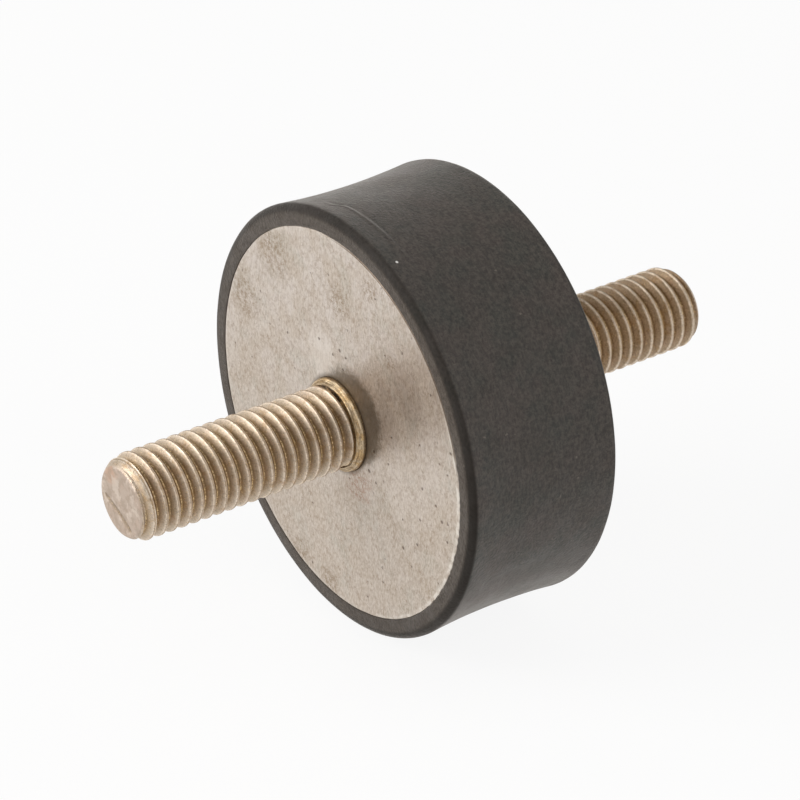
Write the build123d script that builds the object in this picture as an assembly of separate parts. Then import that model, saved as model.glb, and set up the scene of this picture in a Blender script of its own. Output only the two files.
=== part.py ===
"""Round rubber vibration mount with a threaded stud at each end, lying along Y.

The middle of the rubber is the origin, the front stud points towards -Y and the rear one towards +Y.
Every length is in millimetres and every angle in degrees.
"""
from build123d import *
from math import radians, tan
import os

# Rubber body, moulded over both plates and standing out past their edges
rubber_length = 19.5
rubber_cover = 2.45
rim_corner_width = 1.2
rim_corner_length = 0.85
waist_depth = 0.45

# Steel end plates, let into the rubber so that their outer faces are flush with its ends
plate_diameter = 45.1
plate_thickness = 2.5
plate_edge_round = 0.2

# Studs: a round head behind the plate, a shank through it, and a ring swaged into the countersink in front,
# inside whose lip the thread runs out
stud_reach = 28.0
head_diameter = 18.0
head_thickness = 3.0
head_edge_chamfer = 0.6
shank_diameter = 9.9
shank_clearance = 0.05
countersink_depth = 0.5
collar_overhang = 0.45
collar_wall_height = 0.4
collar_bevel_width = 0.55
collar_bevel_height = 0.55
collar_lip_width = 0.15
relief_depth = 1.02
relief_length = 0.6
thread_clearance = 0.05
front_stud_turn = 127.0
rear_stud_turn = 159.0

# Right-hand metric thread with its run-out at the plate end and its rounded tip
thread_diameter = 9.74
thread_pitch = 1.5
crest_width = 0.19
root_width = 0.27
flank_angle = 60.0
runout_angle = 75.0
tip_taper_width = 0.97
tip_taper_length = 2.3
tip_bulge = 0.2

# How far a cutting shape stands proud of what it cuts
cutter_overlap = 0.1

plate_radius = plate_diameter / 2
rubber_radius = plate_radius + rubber_cover
shank_radius = shank_diameter / 2
collar_radius = shank_radius + collar_overhang
plate_hole_radius = shank_radius + shank_clearance
countersink_radius = collar_radius + shank_clearance
head_radius = head_diameter / 2
collar_height = collar_wall_height + collar_bevel_height
collar_lip_radius = collar_radius - collar_bevel_width - collar_lip_width
thread_radius = thread_diameter / 2
relief_radius = thread_radius - relief_depth
thread_start = collar_height + thread_clearance
relief_bottom = thread_start - relief_length
end_face = rubber_length / 2
quarter_turn = 90


def turned(*outline):
    """Solid turned round Z from an outline of edges in the XZ plane."""
    return revolve(make_face(outline), axis=Axis.Z).solid()


def outline(*points):
    """Straight edges through (radius, height) points."""
    return Plane.XZ * Polyline(*points)


def make_plate():
    """Disc with a countersunk central hole; its outer face is on Z = 0 and it goes down from there."""
    hang_down = (Align.CENTER, Align.CENTER, Align.MAX)
    disc = Cylinder(plate_radius, plate_thickness, align=hang_down)
    disc = fillet(disc.edges().filter_by(GeomType.CIRCLE), plate_edge_round)
    hole = Cylinder(plate_hole_radius, plate_thickness, align=hang_down)
    countersink = Cone(plate_hole_radius, countersink_radius, countersink_depth, align=hang_down)
    return (disc - hole - countersink).solid()


def make_thread_groove(low, high):
    """Helical groove of the thread, between two heights."""
    flank = tan(radians(flank_angle / 2))
    half_root = root_width / 2
    half_mouth = (thread_pitch - crest_width) / 2
    depth = (half_mouth - half_root) / flank
    half_rim = half_mouth + cutter_overlap * flank
    path = Pos(0, 0, low) * Helix(pitch=thread_pitch, height=high - low, radius=thread_radius)
    section_plane = Plane(origin=(thread_radius, 0, low), x_dir=(1, 0, 0), z_dir=(0, -1, 0))
    corners = Polyline(
        (cutter_overlap, half_rim),
        (-depth, half_root),
        (-depth, -half_root),
        (cutter_overlap, -half_rim),
        close=True,
    )
    return sweep(make_face(section_plane * corners), path=path, is_frenet=True).solid()


def make_threaded_rod():
    """Thread cut in overlong bar, which is then turned down to its run-out and its rounded tip."""
    groove_start = thread_start - thread_pitch
    groove_end = stud_reach + thread_pitch
    bar_start = groove_start - thread_pitch
    bar_end = groove_end + thread_pitch
    stand_up = (Align.CENTER, Align.CENTER, Align.MIN)
    bar = Pos(0, 0, bar_start) * Cylinder(thread_radius, bar_end - bar_start, align=stand_up)
    bar = bar.solid().cut(make_thread_groove(groove_start, groove_end))

    clear_radius = thread_radius + cutter_overlap
    runout_height = (clear_radius - relief_radius) / tan(radians(runout_angle))
    tip_radius = thread_radius - tip_taper_width
    shoulder = stud_reach - tip_taper_length
    bulge_point = (
        (tip_radius + clear_radius) / 2 + tip_bulge,
        (stud_reach + shoulder) / 2 + tip_bulge,
    )
    sides = outline(
        (tip_radius, stud_reach),
        (0, stud_reach),
        (0, thread_start),
        (relief_radius, thread_start),
        (clear_radius, thread_start + runout_height),
        (clear_radius, shoulder),
    )
    nose = Plane.XZ * ThreePointArc((clear_radius, shoulder), bulge_point, (tip_radius, stud_reach))
    return bar.intersect(turned(sides, nose))[0].solid()


def make_stud():
    """Stud along +Z with the plate's outer face on Z = 0."""
    head_bottom = -plate_thickness - head_thickness
    blank = turned(
        outline(
            (0, head_bottom),
            (head_radius - head_edge_chamfer, head_bottom),
            (head_radius, head_bottom + head_edge_chamfer),
            (head_radius, -plate_thickness),
            (shank_radius, -plate_thickness),
            (shank_radius, -countersink_depth),
            (collar_radius, 0),
            (collar_radius, collar_wall_height),
            (collar_radius - collar_bevel_width, collar_height),
            (collar_lip_radius, collar_height),
            (collar_lip_radius, relief_bottom),
            (relief_radius, relief_bottom),
            (relief_radius, thread_start),
            (0, thread_start),
            (0, head_bottom),
        )
    )
    return blank.fuse(make_threaded_rod()).solid()


def make_rubber():
    """Rubber round Z with its middle on Z = 0, hollowed for the plates and the heads of the studs."""
    shoulder = end_face - rim_corner_length
    inner = rubber_radius - rim_corner_width
    waist = rubber_radius - waist_depth
    corner = {"x_radius": rim_corner_width, "y_radius": rim_corner_length, "arc_size": quarter_turn}
    side = ThreePointArc((rubber_radius, -shoulder), (waist, 0), (rubber_radius, shoulder))
    top_corner = EllipticalCenterArc((inner, shoulder), start_angle=0, **corner)
    bottom_corner = EllipticalCenterArc((inner, -shoulder), start_angle=-quarter_turn, **corner)
    core = Polyline((inner, end_face), (0, end_face), (0, -end_face), (inner, -end_face))
    body = turned(*(Plane.XZ * edge for edge in (side, top_corner, core, bottom_corner)))

    plate_back = end_face - plate_thickness
    head_back = plate_back - head_thickness
    pocket = turned(
        outline(
            (0, head_back),
            (head_radius - head_edge_chamfer, head_back),
            (head_radius, head_back + head_edge_chamfer),
            (head_radius, plate_back),
            (plate_radius, plate_back),
            (plate_radius, end_face),
            (0, end_face),
            (0, head_back),
        )
    )
    return body.cut(pocket, pocket.mirror(Plane.XY)).solid()


# A quarter turn about X carries a piece made along +Z to the rear end (+Y) or to the front end (-Y)
to_rear = Rot(-quarter_turn, 0, 0)
to_front = Rot(quarter_turn, 0, 0)
at_end = Pos(0, 0, end_face)

plate = make_plate()
stud = make_stud()
pieces = {
    "rubber_body": to_rear * make_rubber(),
    "front_plate": to_front * at_end * plate,
    "rear_plate": to_rear * at_end * plate,
    "front_stud": to_front * at_end * Rot(0, 0, front_stud_turn) * stud,
    "rear_stud": to_rear * at_end * Rot(0, 0, rear_stud_turn) * stud,
}

os.makedirs("parts", exist_ok=True)
for name, piece in pieces.items():
    export_step(piece, f"parts/{name}.step")
    print(name, round(piece.volume, 2), "mm3", piece.is_valid)
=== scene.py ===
"""Looks of a round rubber vibration mount with a threaded stud at each end.

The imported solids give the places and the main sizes. Each of them is replaced by a finer mesh of
the same form and dressed in a procedural finish. The mount lies along Y on the rim of its rubber,
and its front end faces -Y. Sizes are in millimetres and angles in degrees unless a docstring says
otherwise, and meshes are scaled to metres when they are made.
"""
from __future__ import annotations

import logging
import math
from dataclasses import dataclass
from enum import Enum
from functools import reduce
from typing import Sequence, Union

import bmesh
import bpy
import numpy as np
from mathutils import Matrix, Vector, noise

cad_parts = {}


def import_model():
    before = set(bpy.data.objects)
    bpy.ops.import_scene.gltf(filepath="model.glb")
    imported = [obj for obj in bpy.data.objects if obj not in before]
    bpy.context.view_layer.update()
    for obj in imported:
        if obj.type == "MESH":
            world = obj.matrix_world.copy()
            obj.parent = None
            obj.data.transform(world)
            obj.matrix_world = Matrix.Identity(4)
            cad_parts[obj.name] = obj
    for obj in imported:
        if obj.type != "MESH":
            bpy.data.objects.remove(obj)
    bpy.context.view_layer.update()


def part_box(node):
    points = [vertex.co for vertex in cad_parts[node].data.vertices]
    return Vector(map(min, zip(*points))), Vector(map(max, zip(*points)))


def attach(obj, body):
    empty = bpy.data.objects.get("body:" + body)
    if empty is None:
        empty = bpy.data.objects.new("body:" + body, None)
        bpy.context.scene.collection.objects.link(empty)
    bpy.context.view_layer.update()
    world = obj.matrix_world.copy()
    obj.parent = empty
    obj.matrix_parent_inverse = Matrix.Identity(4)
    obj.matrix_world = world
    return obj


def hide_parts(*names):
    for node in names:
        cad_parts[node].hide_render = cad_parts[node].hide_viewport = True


LOG = logging.getLogger("vibration_mount")

MM = 0.001
WELD_DISTANCE = 0.001
PHOTO_SIDE = 800
SENSOR_WIDTH = 36.0
ROOT_BODY = "root"

# The display colour curve is straight up to its knee and a power above it
CURVE_KNEE = 0.04045
CURVE_SLOPE = 12.92
CURVE_SHIFT = 0.055
CURVE_POWER = 2.4

# Names of the shader groups' sockets that are vectors; the others are values
VECTOR_SOCKETS = ("Place", "Wrapped", "Centre")

BLACK = (0.0, 0.0, 0.0)
WHITE = (1.0, 1.0, 1.0)

Socket = bpy.types.NodeSocket
Colour = tuple[float, float, float]
Pair = tuple[float, float]
Outline = list[Pair]
Value = Union[float, Sequence[float], Socket]


def linear(red: int, green: int, blue: int) -> Colour:
    """Linear colour of a display colour.

    Args:
        red: Red from 0 to 255.
        green: Green from 0 to 255.
        blue: Blue from 0 to 255.

    Returns:
        The colour as Blender's sockets take it, without alpha.
    """
    shares = (channel / 255 for channel in (red, green, blue))
    return tuple(
        s / CURVE_SLOPE if s <= CURVE_KNEE else ((s + CURVE_SHIFT) / (1 + CURVE_SHIFT)) ** CURVE_POWER
        for s in shares
    )


def smooth_step(value: np.ndarray, low: float, high: float) -> np.ndarray:
    """Smooth rise from 0 at low to 1 at high."""
    share = np.clip((value - low) / (high - low), 0.0, 1.0)
    return share * share * (3 - 2 * share)


def window(value: np.ndarray, rise: Pair, fall: Pair) -> np.ndarray:
    """1 between a smooth rise and a smooth fall, and 0 outside them."""
    return smooth_step(value, *rise) * (1 - smooth_step(value, *fall))


def on_circle(radius: Value, along: Value, angle: np.ndarray) -> np.ndarray:
    """Points at angles in radians, as rows of X, place along the axis and Z."""
    places = np.broadcast_arrays(radius * np.cos(angle), along, radius * np.sin(angle))
    return np.stack(places, axis=-1)


def whole_degrees(angle: np.ndarray) -> np.ndarray:
    """Angles in radians as degrees from -180 to 180."""
    return np.degrees(np.arctan2(np.sin(angle), np.cos(angle)))


def uneven(points: np.ndarray, size: float, seed: Seed) -> np.ndarray:
    """Smooth fixed noise at points, between about -1 and 1.

    Args:
        points: Points as an array of rows of three, in millimetres.
        size: Length over which the noise changes.
        seed: Shift of this use of the noise.

    Returns:
        One value for each point.
    """
    shift = Vector((seed, 2 * seed, 3 * seed))
    flat = points.reshape(-1, 3) / size
    values = np.fromiter((noise.noise(Vector(p) + shift) for p in flat), float, len(flat))
    return values.reshape(points.shape[:-1])


class Seed(float, Enum):
    """Shifts that tell one use of the fixed noise from another."""

    EDGE = 5.3
    BUMPS = 10.6
    RIPPLE = 1.7
    FINE_RIPPLE = 4.1
    WAVES = 7.9
    WEAR = 3.3
    BURRS = 9.2
    SWAGE = 8.1
    TIP = 6.4


class End(Enum):
    """The two ends of the mount."""

    FRONT = "front"
    REAR = "rear"

    def place(self, local: np.ndarray) -> np.ndarray:
        """Carries points from a frame that points outwards along Z to this end.

        Args:
            local: Points as an array of rows of three, counted from the middle of the mount.

        Returns:
            The points in the frame of the mount.
        """
        x, y, z = local[..., 0], local[..., 1], local[..., 2]
        return np.stack((x, -z, y) if self is End.FRONT else (x, z, -y), axis=-1)

    def world_angle(self, local_angle: np.ndarray) -> np.ndarray:
        """Angle from X towards Z of the mount, in radians, for an angle in the end's own frame."""
        return local_angle if self is End.FRONT else -local_angle


@dataclass(frozen=True)
class Sizes:
    """Main sizes of the mount."""

    radius: float
    half_length: float
    plate_radius: float
    plate_thickness: float
    head_radius: float
    head_depth: float
    reach: float
    head_chamfer: float = 0.6

    @classmethod
    def of_solids(cls) -> Sizes:
        """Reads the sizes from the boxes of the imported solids.

        Returns:
            The sizes.
        """
        low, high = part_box("rubber_body")
        plate_low, plate_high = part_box("rear_plate")
        stud_low, stud_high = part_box("rear_stud")
        half_length = (high.y - low.y) / 2 / MM
        return cls(
            radius=(high.x - low.x) / 2 / MM,
            half_length=half_length,
            plate_radius=(plate_high.x - plate_low.x) / 2 / MM,
            plate_thickness=(plate_high.y - plate_low.y) / MM,
            head_radius=(stud_high.x - stud_low.x) / 2 / MM,
            head_depth=half_length - stud_low.y / MM,
            reach=stud_high.y / MM - half_length,
        )


class Body:
    """Makes a closed mesh from rows of points that each run once round an axis.

    The last point of a row lies on the first one of the same row, or of a later row where the rows
    follow a thread, and points that lie together are welded.
    """

    def __init__(self, name: str, columns: int) -> None:
        """Starts a mesh.

        Args:
            name: Name of the piece.
            columns: Number of faces in each row.
        """
        self.name = name
        self.angles = np.linspace(0.0, 2 * math.pi, columns + 1)
        self.rows: list[np.ndarray] = []

    def add_row(self, radius: Value, height: Value) -> None:
        """Adds a row with a radius and a height along the axis, one for all angles or one for each."""
        x, height, y = on_circle(radius, height, self.angles).T
        self.rows.append(np.stack((x, y, height), axis=-1))

    def make(self, end: End, sharp_angle: float, tube: bool = False) -> bpy.types.Object:
        """Closes the rows and makes the object.

        Args:
            end: The end that the rows' own axis points to.
            sharp_angle: Angle between faces from which an edge shows as sharp.
            tube: Whether the last row joins the first one, rather than each closing on the axis.

        Returns:
            The object, linked to the scene, at the origin and in metres.
        """
        axis_only = np.array((0.0, 0.0, 1.0))
        last_row = self.rows[0] if tube else self.rows[-1] * axis_only
        first_row = [] if tube else [self.rows[0] * axis_only]
        rows = first_row + self.rows + [last_row]
        points = end.place(np.concatenate(rows)) * MM
        grid = np.arange(len(points)).reshape(len(rows), len(self.angles))
        corners = (grid[:-1, :-1], grid[:-1, 1:], grid[1:, 1:], grid[1:, :-1])
        quads = np.stack(corners, axis=-1).reshape(-1, 4)
        mesh = bpy.data.meshes.new(self.name)
        mesh.from_pydata(points.tolist(), [], quads.tolist())
        work = bmesh.new()
        work.from_mesh(mesh)
        bmesh.ops.remove_doubles(work, verts=work.verts, dist=WELD_DISTANCE * MM)
        bmesh.ops.recalc_face_normals(work, faces=work.faces)
        work.to_mesh(mesh)
        work.free()
        mesh.shade_smooth()
        mesh.set_sharp_from_angle(angle=math.radians(sharp_angle))
        return linked(self.name, mesh)


def linked(name: str, data: bpy.types.ID) -> bpy.types.Object:
    """A new object of the scene.

    Args:
        name: Its name.
        data: Its mesh, light or camera.

    Returns:
        The object.
    """
    made = bpy.data.objects.new(name, data)
    bpy.context.scene.collection.objects.link(made)
    return made


def spread(start: float, stop: float, step: float) -> list[float]:
    """Evenly spaced values from start to stop with both ends, no further apart than step."""
    count = max(1, math.ceil(abs(stop - start) / step - 1e-9))
    return [start + (stop - start) * k / count for k in range(count + 1)]


def straight(start: Pair, stop: Pair, step: float) -> Outline:
    """Points of an outline on a straight stretch, without its first point.

    Args:
        start: Radius and height where it starts.
        stop: Radius and height where it ends.
        step: Longest distance between points.

    Returns:
        Pairs of radius and height.
    """
    (r0, h0), (r1, h1) = start, stop
    shares = spread(0.0, 1.0, step / math.dist(start, stop))[1:]
    return [(r0 + (r1 - r0) * s, h0 + (h1 - h0) * s) for s in shares]


def corner(centre: Pair, width: float, length: float, first: float, last: float, steps: int) -> Outline:
    """Points of an outline on part of an ellipse.

    Args:
        centre: Radius and height of the middle of the ellipse.
        width: Its half width along the radius.
        length: Its half length along the axis.
        first: Angle where the stretch starts.
        last: Angle where it ends.
        steps: Number of stretches.

    Returns:
        Pairs of radius and height, with both ends.
    """
    angles = [math.radians(first + (last - first) * k / steps) for k in range(steps + 1)]
    return [(centre[0] + width * math.cos(a), centre[1] + length * math.sin(a)) for a in angles]


@dataclass(frozen=True)
class RaggedEdge:
    """Uneven line where the rubber meets a plate's edge.

    The line wanders a little all round, and on one stretch it has small bumps.
    """

    wander: float = 0.05
    wander_size: float = 1.7
    bumps: float = 0.15
    bump_size: float = 0.6
    bumps_rise: Pair = (-48.0, -36.0)
    bumps_fall: Pair = (12.0, 24.0)

    def offset(self, angle: np.ndarray, radius: float) -> np.ndarray:
        """How far the line lies outside its true circle.

        Args:
            angle: Angles from X towards Z of the mount, in radians.
            radius: Radius of the circle.

        Returns:
            One offset for each angle.
        """
        circle = on_circle(radius, 0.0, angle)
        stretch = window(whole_degrees(angle), self.bumps_rise, self.bumps_fall)
        wander = self.wander * uneven(circle, self.wander_size, Seed.EDGE)
        return wander + stretch * self.bumps * uneven(circle, self.bump_size, Seed.BUMPS)


@dataclass
class RubberBody:
    """The rubber, with a pocket at each end for a plate and the head of its stud."""

    sizes: Sizes
    edge: RaggedEdge
    rim_width: float = 1.2
    rim_length: float = 0.85
    rim_steps: int = 10
    waist: float = 0.45
    lip_round: float = 0.12
    lip_steps: int = 4
    lip_fade: float = 0.3
    tolerance: float = 0.01
    ripple: float = 0.025
    ripple_size: float = 4.0
    fine_ripple: float = 0.3
    seam_place: float = -6.55
    seam_height: float = 0.05
    seam_half_width: float = 0.22
    seam_faint: float = 0.12
    seam_rise: Pair = (68.0, 84.0)
    seam_fall: Pair = (99.0, 104.0)
    seam_jog: float = 0.8
    seam_jog_turn: Pair = (96.5, 100.5)
    seam_groove: float = 0.8
    seam_groove_place: float = 1.9
    fine_beside_seam: Pair = (0.6, 1.5)
    columns: int = 768
    side_step: float = 0.45
    seam_step: float = 0.13
    name: str = "rubber_body_skin"

    def half_outline(self) -> Outline:
        """Outline of the rear half, from the middle of the side to the bottom of the pocket.

        Returns:
            Pairs of radius and height.
        """
        sizes, end, lip_round = self.sizes, self.sizes.half_length, self.lip_round
        shoulder = end - self.rim_length
        before, after = self.fine_beside_seam
        places = (0.0, -self.seam_place - before, -self.seam_place + after, shoulder)
        steps = (self.side_step, self.seam_step, self.side_step)
        sides = [h for *ends, step in zip(places, places[1:], steps) for h in spread(*ends, step)[:-1]]
        points = [(sizes.radius - self.waist * (1 - (h / shoulder) ** 2), h) for h in sides]
        rim_centre = (sizes.radius - self.rim_width, shoulder)
        points += corner(rim_centre, self.rim_width, self.rim_length, 0, 90, self.rim_steps)
        lip = sizes.plate_radius + lip_round
        points += straight(points[-1], (lip, end), self.side_step)
        points += corner((lip, end - lip_round), lip_round, lip_round, 90, 180, self.lip_steps)[1:]
        plate_back, head_back = end - sizes.plate_thickness, end - sizes.head_depth
        points += straight(points[-1], (sizes.plate_radius, plate_back), sizes.plate_thickness / 2)
        return points + [
            (sizes.head_radius, plate_back),
            (sizes.head_radius, head_back + sizes.head_chamfer),
            (sizes.head_radius - sizes.head_chamfer, head_back),
        ]

    def radial_shift(self, radius: float, height: float, angles: np.ndarray) -> np.ndarray:
        """Small unevenness of the moulded surface.

        Args:
            radius: Radius of a row.
            height: Height of a row.
            angles: Angles of its points, in radians.

        Returns:
            How far each point moves outwards.
        """
        plate_radius = self.sizes.plate_radius
        reach = plate_radius + self.lip_round + self.tolerance
        ragged = self.edge.offset(angles, plate_radius)
        if radius <= reach:
            return ragged * (radius > plate_radius - self.tolerance)
        points = on_circle(radius, height, angles)
        shift = self.ripple * (uneven(points, self.ripple_size, Seed.RIPPLE) - 1)
        fine = uneven(points, self.ripple_size / 4, Seed.FINE_RIPPLE)
        shift += self.fine_ripple * self.ripple * (fine - 1)
        if abs(height) < self.sizes.half_length - self.rim_length:
            shift += self.seam(height, angles)
        fade = smooth_step(radius, reach, reach + self.lip_fade)
        return shift * fade + ragged * (1 - fade)

    def seam(self, height: float, angles: np.ndarray) -> np.ndarray:
        """Fine raised line that the mould left near the front rim, strongest at the top.

        Args:
            height: Height of a row.
            angles: Angles of its points, in radians.

        Returns:
            How far the line stands out at each point.
        """
        degrees = whole_degrees(angles)
        strength = window(degrees, self.seam_rise, self.seam_fall)
        place = self.seam_place - self.seam_jog * smooth_step(degrees, *self.seam_jog_turn)
        beside = (height - place) / self.seam_half_width
        groove = self.seam_groove * np.exp(-((beside - self.seam_groove_place) ** 2))
        return self.seam_height * (self.seam_faint + strength) * (np.exp(-beside * beside) - groove)

    def build(self) -> bpy.types.Object:
        """Makes the rubber's mesh.

        Returns:
            The object.
        """
        rear = self.half_outline()
        body = Body(self.name, self.columns)
        world = End.REAR.world_angle(body.angles)
        for radius, height in [(r, -h) for r, h in reversed(rear)] + rear[1:]:
            body.add_row(radius + self.radial_shift(radius, height, world), height)
        return body.make(End.REAR, sharp_angle=50)


@dataclass
class EndPlate:
    """A steel disc with a countersunk hole, flush with the end of the rubber."""

    end: End
    sizes: Sizes
    edge: RaggedEdge
    hole_radius: float = 5.0
    countersink_radius: float = 5.45
    countersink_depth: float = 0.5
    edge_round: float = 0.2
    round_steps: int = 4
    ragged_from: float = 1.0
    waviness: float = 0.012
    wave_size: float = 5.0
    columns: int = 768
    ring_step: float = 0.45
    back_step: float = 1.0

    def outline(self) -> Outline:
        """Outline from the hole's outer edge over the face, round the rim and along the back.

        Returns:
            Pairs of radius and height over the outer face.
        """
        small, steps, back = self.edge_round, self.round_steps, -self.sizes.plate_thickness
        rim = self.sizes.plate_radius
        points = [(self.countersink_radius, 0.0)]
        points += straight(points[-1], (rim - small, 0.0), self.ring_step)
        points += corner((rim - small, -small), small, small, 90, 0, steps)[1:]
        points += straight(points[-1], (rim, back + small), self.back_step)
        points += corner((rim - small, back + small), small, small, 0, -90, steps)[1:]
        return points + [(self.hole_radius, back), (self.hole_radius, -self.countersink_depth)]

    def build(self) -> bpy.types.Object:
        """Makes the plate's mesh, a ring that closes on itself.

        Returns:
            The object.
        """
        body = Body(f"{self.end.value}_plate_skin", self.columns)
        world, rim = self.end.world_angle(body.angles), self.sizes.plate_radius
        shift = self.edge.offset(world, rim)
        for radius, height in self.outline():
            outer = smooth_step(radius, rim - self.ragged_from, rim - self.edge_round)
            level = height + self.sizes.half_length
            if height == 0.0:
                points = on_circle(radius, level, world)
                level = level - self.waviness * (1 + uneven(points, self.wave_size, Seed.WAVES))
            body.add_row(radius + shift * outer, level)
        return body.make(self.end, sharp_angle=35, tube=True)


@dataclass
class Stud:
    """A threaded stud: head behind the plate, shank, swaged ring, relief, thread and rounded tip."""

    end: End
    turn: float
    sizes: Sizes
    shank_radius: float = 4.95
    countersink_depth: float = 0.5
    collar_radius: float = 5.4
    collar_wall: float = 0.4
    collar_top_radius: float = 4.85
    collar_lip_radius: float = 4.7
    collar_height: float = 0.95
    relief_radius: float = 3.85
    relief_bottom: float = 0.4
    thread_start: float = 1.0
    thread_radius: float = 4.87
    run_out_slope: float = 3.7
    pitch: float = 1.5
    depth: float = 0.9
    spare_turns: int = 2
    clearance: float = 0.1
    tip_radius: float = 3.9
    tip_length: float = 2.3
    tip_fullness: float = 0.8
    tip_sink: float = 0.22
    tolerance: float = 0.01
    crest_wear: float = 0.03
    crest_half_width: float = 0.09
    wear_size: float = 0.9
    burr: float = 0.035
    burr_half_width: float = 0.045
    burr_size: float = 0.22
    swage: float = 0.16
    swage_size: float = 1.3
    tip_rough: float = 0.02
    tip_rough_size: float = 0.7
    dent_depth: float = 0.17
    dent_half_width: float = 0.38
    columns: int = 168
    ring_step: float = 0.1

    # Corners of the dent across the flat end, as X and Z
    DENT = ((-3.2, -0.8), (-2.65, -0.95), (-0.7, -1.7), (1.25, -2.75), (1.6, -3.1))

    # Form of the thread over half a pitch, from the middle of the groove to the middle of the crest:
    # share of a pitch, share of the depth
    HALF_FORM = (
        (0.0, 0.0), (0.05, 0.004), (0.085, 0.03), (0.12, 0.095), (0.2, 0.32), (0.3, 0.61),
        (0.38, 0.84), (0.41, 0.92), (0.435, 0.972), (0.465, 0.998), (0.5, 1.0),
    )

    # Rounding of the swaged ring's top and of its lip: how far out and how far down each point lies
    CROWN = ((0.24, 0.3), (0.2, 0.31), (0.15, 0.22), (0.07, 0.05), (-0.02, 0.0))
    LIP = ((0.05, 0.01), (0.0, 0.07))

    # Share of the flat end's radius of its outermost and innermost ring, and the step between rings
    TIP_RINGS = (0.975, 0.02, 0.028)

    def phase(self, start: float, height: np.ndarray, angle: np.ndarray) -> np.ndarray:
        """Place across a turn of the thread, from -0.5 to 0.5.

        Args:
            start: Height at which a helix of place 0 starts.
            height: Heights over the plate's face.
            angle: Angles in the stud's own frame, in radians.

        Returns:
            The place of each point.
        """
        share = (height - (start + self.pitch * (np.degrees(angle) - self.turn) / 360)) / self.pitch
        return share - np.round(share)

    def thread_radius_at(self, height: np.ndarray, angle: np.ndarray) -> np.ndarray:
        """Radius of the endless thread.

        Args:
            height: Heights over the plate's face.
            angle: Angles in the stud's own frame, in radians.

        Returns:
            The radius at each point.
        """
        from_groove = np.abs(self.phase(self.thread_start - self.pitch, height, angle))
        places, depths = zip(*self.HALF_FORM)
        return self.thread_radius - self.depth * (1 - np.interp(from_groove, places, depths))

    def flat_radius(self, world: np.ndarray) -> np.ndarray:
        """Radius of the flat end, which sits a little low because it was turned out of true."""
        return self.tip_radius - self.tip_sink * np.sin(world)

    def envelope(self, height: np.ndarray, world: np.ndarray) -> np.ndarray:
        """Largest radius of the stud at a height over the plate's face.

        Args:
            height: Heights over the plate's face.
            world: Angles of the points in the mount's frame, in radians.

        Returns:
            The radius at each height.
        """
        run_out = self.relief_radius + self.run_out_slope * (height - self.thread_start)
        share = np.clip((self.sizes.reach - height) / self.tip_length, 0.0, 1.0)
        flat, full = self.flat_radius(world), self.thread_radius + self.clearance
        nose = flat + (full - flat) * np.sin(share * math.pi / 2) ** self.tip_fullness
        return np.minimum(np.minimum(run_out, nose), full)

    def add_thread(self, body: Body) -> None:
        """Adds rows that follow the thread from its start to the tip.

        Args:
            body: The mesh in the making.
        """
        reach, world = self.sizes.reach, self.end.world_angle(body.angles)
        rise = self.pitch * body.angles / (2 * math.pi)
        places = [-p for p, _ in reversed(self.HALF_FORM)] + [p for p, _ in self.HALF_FORM[1:-1]]
        first_turn = math.floor(self.thread_start / self.pitch) - self.spare_turns
        last_turn = math.ceil(reach / self.pitch) + self.spare_turns
        base = self.thread_start - self.pitch - self.pitch * self.turn / 360
        for place in (turn + p for turn in range(first_turn, last_turn + 1) for p in places):
            height = np.clip(base + rise + self.pitch * place, self.thread_start, reach)
            radius = self.thread_radius_at(height, body.angles)
            radius = np.minimum(radius, self.envelope(height, world))
            radius = radius - self.worn(height, radius, body.angles, world)
            body.add_row(radius, height + self.sizes.half_length)

    def worn(
        self, height: np.ndarray, radius: np.ndarray, angles: np.ndarray, world: np.ndarray
    ) -> np.ndarray:
        """How much the crests are worn down, with small burrs on their inner edges.

        Args:
            height: Heights of the points over the plate's face.
            radius: Their radius.
            angles: Their angles in the stud's own frame, in radians.
            world: Their angles in the mount's frame, in radians.

        Returns:
            How far each point moves inwards.
        """
        points = on_circle(radius, height, world)
        phase = self.phase(self.thread_start - self.pitch / 2, height, angles)
        low, high = self.thread_start + self.tolerance, self.sizes.reach - self.tolerance
        inside = (height > low) & (height < high)
        crest = np.exp(-((phase / self.crest_half_width) ** 2)) * inside
        back = np.exp(-(((phase + self.crest_half_width) / self.burr_half_width) ** 2)) * inside
        wear = self.crest_wear * (0.5 + 0.5 * uneven(points, self.wear_size, Seed.WEAR)) * crest
        burr = self.burr * np.clip(uneven(points, self.burr_size, Seed.BURRS), -0.5, 0.6) * back
        return wear - burr

    def build(self) -> bpy.types.Object:
        """Makes the stud's mesh.

        Returns:
            The object.
        """
        body, sizes = Body(f"{self.end.value}_stud_skin", self.columns), self.sizes
        world, face = self.end.world_angle(body.angles), sizes.half_length
        head_back, plate_back = -sizes.head_depth, -sizes.plate_thickness
        for radius, height in (
            (0.02, head_back),
            (sizes.head_radius - sizes.head_chamfer, head_back),
            (sizes.head_radius, head_back + sizes.head_chamfer),
            (sizes.head_radius, plate_back),
            (self.shank_radius, plate_back),
            (self.shank_radius, -self.countersink_depth),
        ):
            body.add_row(radius, height + face)
        for radius, height in self.collar_outline():
            points = on_circle(radius, 2 * height, world)
            swaged = 0.0 < height < self.thread_start and radius > self.relief_radius
            shift = swaged * self.swage * uneven(points, self.swage_size, Seed.SWAGE)
            shift = np.minimum(shift, 0.0)
            body.add_row(radius + shift, height + face + shift / 2)
        self.add_thread(body)
        for share in spread(*self.TIP_RINGS):
            radius = share * self.flat_radius(world)
            body.add_row(radius, self.tip_height(radius, world) + face)
        return body.make(self.end, sharp_angle=40)

    def tip_point(self, x: float, z: float) -> tuple[float, float, float]:
        """Point of the flat end at a given X and Z of the mount."""
        reach = self.sizes.half_length + self.sizes.reach
        return (x, -reach if self.end is End.FRONT else reach, z)

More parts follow.
